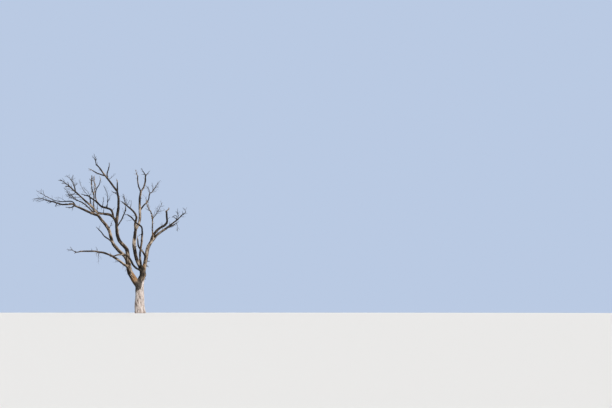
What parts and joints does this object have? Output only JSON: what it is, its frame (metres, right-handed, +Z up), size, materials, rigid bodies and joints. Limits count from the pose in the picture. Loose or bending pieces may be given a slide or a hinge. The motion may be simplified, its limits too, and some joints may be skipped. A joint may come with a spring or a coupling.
{
  "type": "dead tree",
  "caption": "Bare dead tree: a flared trunk, cut flat at the ground, forks into bent tapering boughs that end in sparse bare twigs",
  "frame": {"origin": "middle of the flat cut under the trunk, at ground level", "axes": "+Z up the trunk, +X to the right and +Y to the back of the tree as seen from its front"},
  "size_m": [12.3125, 8.9126, 12.7473],
  "materials": {
    "bark": "weathered",
    "twigs": "matte"
  },
  "bodies": {
    "root": {"trunk": "bark", "left_bough": "bark", "left_tall_limb": "bark", "far_left_limb": "bark", "far_left_reach": "bark", "far_left_upper": "bark", "low_left_limb": "bark", "short_left_limb": "bark", "diagonal_limb": "bark", "arched_limb": "bark", "hooked_upright": "bark", "back_left_limb": "bark", "tall_upright": "bark", "riser_limb": "bark", "left_crown_limb": "bark", "crown_stub": "bark", "crown_spur": "bark", "crown_side_limb": "bark", "right_bough": "bark", "central_bough": "bark", "crossing_limb": "bark", "front_limb": "bark", "front_arm": "bark", "central_limb": "bark", "central_left_tip": "bark", "central_right_tip": "bark", "inner_left_limb": "bark", "inner_right_limb": "bark", "inner_spur": "bark", "right_lower_limb": "bark", "right_upper_limb": "bark", "right_upright": "bark", "right_low_side": "bark", "left_crown_twigs": "twigs", "crown_spur_twigs": "twigs", "crown_side_twigs": "twigs", "crown_stub_twigs": "twigs", "diagonal_twigs": "twigs", "arched_twigs": "twigs", "hooked_twigs": "twigs", "back_left_twigs": "twigs", "tall_upright_twigs": "twigs", "far_left_twigs": "twigs", "far_left_upper_twigs": "twigs", "low_left_twigs": "twigs", "short_left_twigs": "twigs", "crossing_twigs": "twigs", "riser_twigs": "twigs", "front_arm_twigs": "twigs", "inner_spur_twigs": "twigs", "central_left_twigs": "twigs", "central_right_twigs": "twigs", "inner_left_twigs": "twigs", "inner_right_twigs": "twigs", "right_upper_twigs": "twigs", "right_lower_twigs": "twigs", "right_low_side_twigs": "twigs", "right_upright_twigs": "twigs"}
  },
  "joints": []
}
